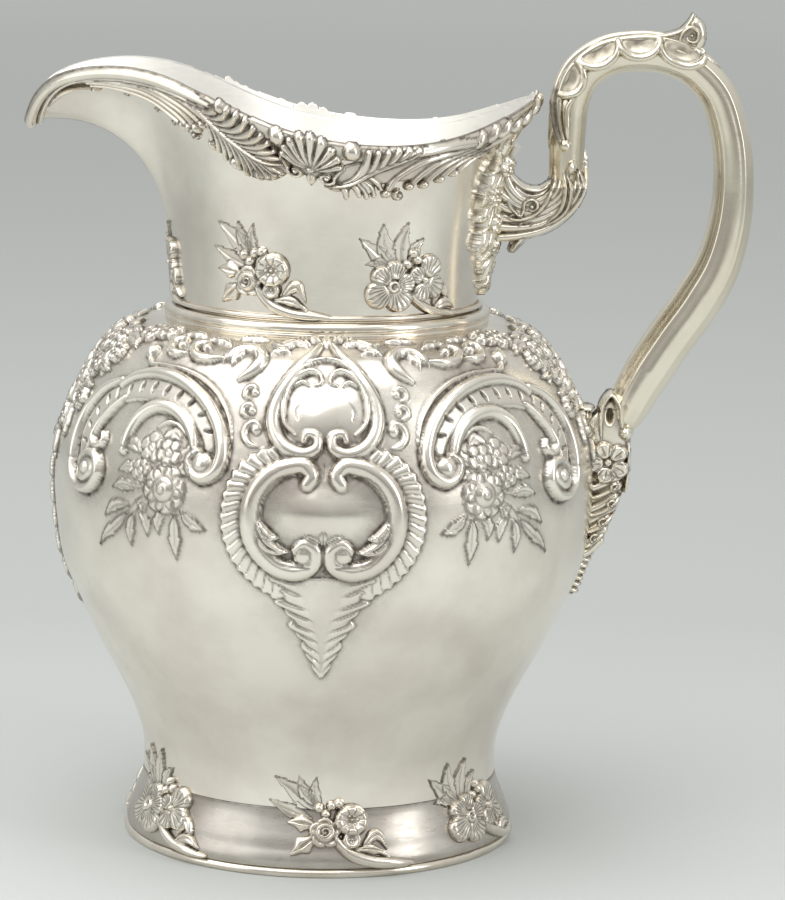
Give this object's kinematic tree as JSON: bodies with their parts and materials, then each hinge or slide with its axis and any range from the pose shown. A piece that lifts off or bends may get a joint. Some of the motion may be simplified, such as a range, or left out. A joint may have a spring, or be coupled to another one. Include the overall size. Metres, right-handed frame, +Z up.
{
  "type": "ewer",
  "caption": "Footed silver water ewer with a chased baluster body, a wide drawn spout, a cast leaf border round the rim and a hollow scroll handle.",
  "frame": {"origin": "on the vessel's axis, at the plane of the foot's wire that it stands on", "axes": "+Z up along the vessel's axis, +X towards the handle, -X towards the spout, -Y out of the front cartouche"},
  "size_m": [0.2194, 0.1652, 0.2515],
  "materials": {
    "raised_silver": "hand-polished sterling sheet, lightly worn, with grey tarnish in the chasing",
    "cast_silver": "cast sterling, polished on the high places and oxidised in the recesses",
    "handle_silver": "stamped sterling, polished, with a warm light tarnish"
  },
  "bodies": {
    "root": {"body_shell": "raised_silver", "base_plate": "raised_silver", "foot": "raised_silver", "neck_shell": "raised_silver", "foot_rim": "cast_silver", "collar_ring": "cast_silver", "spout_lip": "cast_silver", "spout_leaf_front": "cast_silver", "spout_leaf_back": "cast_silver", "rim_shell_front": "cast_silver", "rim_shell_back": "cast_silver", "rim_leaf_front": "cast_silver", "rim_leaf_back": "cast_silver", "rim_crest": "cast_silver", "upper_socket": "cast_silver", "upper_backplate": "cast_silver", "lower_socket": "cast_silver", "neck_spray_1": "cast_silver", "neck_spray_2": "cast_silver", "neck_spray_3": "cast_silver", "neck_spray_4": "cast_silver", "neck_spray_5": "cast_silver", "foot_spray_1": "cast_silver", "foot_spray_2": "cast_silver", "foot_spray_3": "cast_silver", "foot_spray_4": "cast_silver", "foot_spray_5": "cast_silver", "foot_spray_6": "cast_silver", "handle_front_half": "handle_silver", "handle_back_half": "handle_silver", "handle_leaf": "handle_silver", "thumb_scroll": "handle_silver"}
  },
  "joints": []
}
